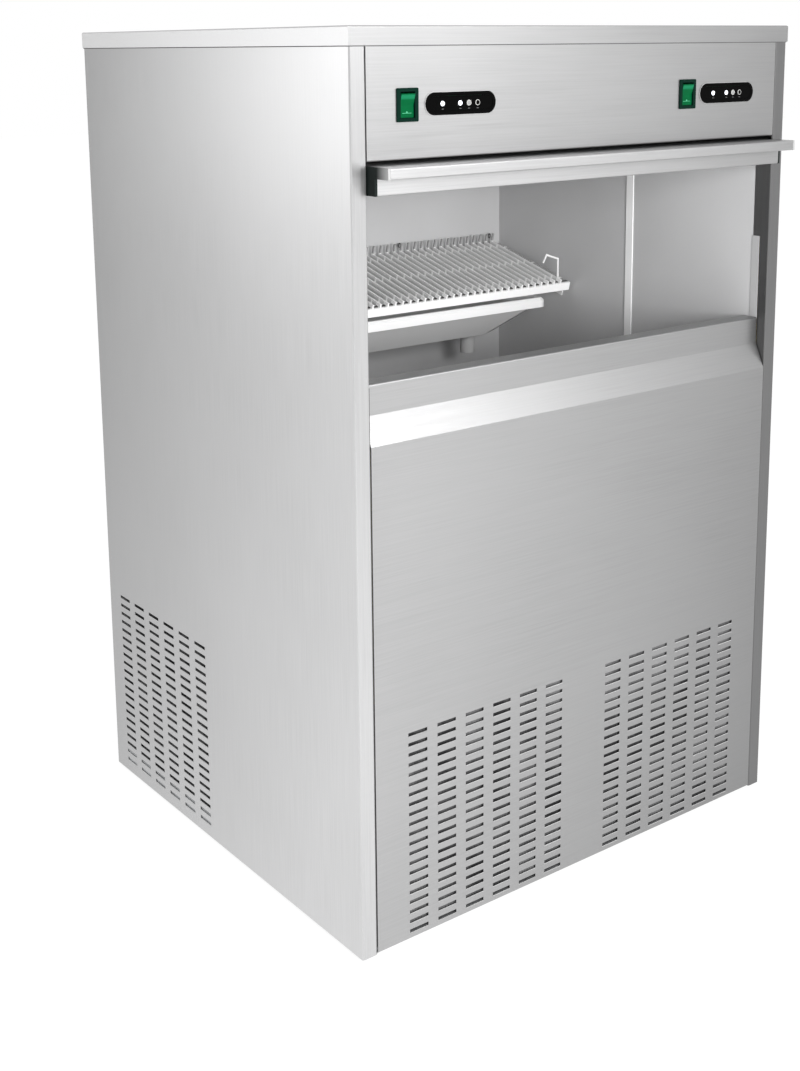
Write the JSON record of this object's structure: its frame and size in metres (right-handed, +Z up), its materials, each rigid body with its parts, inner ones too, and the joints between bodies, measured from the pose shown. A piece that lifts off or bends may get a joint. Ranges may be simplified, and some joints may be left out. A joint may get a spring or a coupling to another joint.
{
  "type": "ice machine",
  "caption": "Free-standing ice machine with a slotted stainless cabinet, a slide-in tilting door over an insulated bin, a slatted ice slide and two tilting-tray freezing units.",
  "frame": {"origin": "on the floor under the middle of the machine, rear fittings and open door counted in", "axes": "+Z up, the front with the door towards -Y, +X to the right as seen from the front"},
  "size_m": [0.68, 0.682, 1.04],
  "materials": {
    "casing": "brushed",
    "liner": "satin",
    "foam": "matte",
    "galvanised": "satin",
    "white_plastic": "satin",
    "black_plastic": "matte",
    "nylon": "matte",
    "rocker_green": "gloss",
    "display_black": "gloss",
    "light": "gloss",
    "board": "matte",
    "copper": "satin",
    "aluminium": "satin",
    "black_paint": "satin",
    "brass": "satin",
    "rubber": "matte"
  },
  "bodies": {
    "cabinet": {"base_pan": "galvanised", "bin_ceiling": "liner", "bin_insulation": "foam", "bin_liner": "liner", "compartment_deck": "galvanised", "compressor_left": "black_paint", "compressor_right": "black_paint", "condenser_left": "aluminium", "condenser_right": "aluminium", "control_boards": "board", "control_panel": "casing", "cooling_lines_left": "copper", "cooling_lines_right": "copper", "display_bezel_left": "black_plastic", "display_bezel_right": "black_plastic", "display_window_left": "display_black", "display_window_right": "display_black", "door_guide_left": "white_plastic", "door_guide_right": "white_plastic", "drain_pipe": "white_plastic", "evaporator_left": "aluminium", "evaporator_right": "aluminium", "fan_motor_left": "black_paint", "fan_motor_right": "black_paint", "fan_shroud_left": "galvanised", "fan_shroud_right": "galvanised", "full_probe": "white_plastic", "ice_slide": "white_plastic", "indicator_lights": "light", "left_side_panel": "casing", "levelling_feet": "rubber", "liner_trim_strips": "white_plastic", "lower_front_panel": "casing", "power_inlet": "black_plastic", "rear_panel": "galvanised", "right_side_panel": "casing", "slide_brackets": "white_plastic", "switch_bezel_left": "black_plastic", "switch_bezel_right": "black_plastic", "top_cover": "casing", "tray_hangers": "aluminium", "tray_motor_left": "black_plastic", "tray_motor_right": "black_plastic", "water_hose": "white_plastic", "water_pump": "black_plastic", "water_tub": "white_plastic", "water_valve": "brass"},
    "door_carriage": {"door_slider_left": "nylon", "door_slider_right": "nylon"},
    "door": {"door_skin": "casing", "door_inner_panel": "liner", "door_foam": "foam", "door_end_cap_left": "black_plastic", "door_end_cap_right": "black_plastic"},
    "rocker_left": {"switch_rocker_left": "rocker_green"},
    "rocker_right": {"switch_rocker_right": "rocker_green"},
    "tray_left": {"water_tray_left": "white_plastic"},
    "tray_right": {"water_tray_right": "white_plastic"},
    "fan_left": {"fan_left": "black_plastic"},
    "fan_right": {"fan_right": "black_plastic"}
  },
  "joints": [
    {"name": "door_slide", "type": "slide", "parent": "cabinet", "child": "door_carriage", "axis": [0, -1, 0], "range_m": [0, 0.195]},
    {"name": "door_swing", "type": "hinge", "parent": "door_carriage", "child": "door", "pos_m": [0, -0.099, 0.886], "axis": [1, 0, 0], "range_deg": [0, 90]},
    {"name": "rocker_left_tilt", "type": "hinge", "parent": "cabinet", "child": "rocker_left", "pos_m": [-0.266, -0.2998, 0.959], "axis": [1, 0, 0], "range_deg": [-16, 0]},
    {"name": "tray_left_tilt", "type": "hinge", "parent": "cabinet", "child": "tray_left", "pos_m": [-0.155, 0.188, 0.858], "axis": [1, 0, 0], "range_deg": [0, 45]},
    {"name": "fan_left_spin", "type": "hinge", "parent": "cabinet", "child": "fan_left", "pos_m": [-0.15415, -0.214, 0.13], "axis": [0, 1, 0], "continuous": true},
    {"name": "rocker_right_tilt", "type": "hinge", "parent": "cabinet", "child": "rocker_right", "pos_m": [0.1575, -0.2998, 0.959], "axis": [1, 0, 0], "range_deg": [-16, 0]},
    {"name": "tray_right_tilt", "type": "hinge", "parent": "cabinet", "child": "tray_right", "pos_m": [0.155, 0.188, 0.858], "axis": [1, 0, 0], "range_deg": [0, 45]},
    {"name": "fan_right_spin", "type": "hinge", "parent": "cabinet", "child": "fan_right", "pos_m": [0.15415, -0.214, 0.13], "axis": [0, 1, 0], "continuous": true}
  ],
  "couplings": [
    {"joint": "door_swing", "follows": "door_slide", "rad_per_m": 8.055}
  ]
}
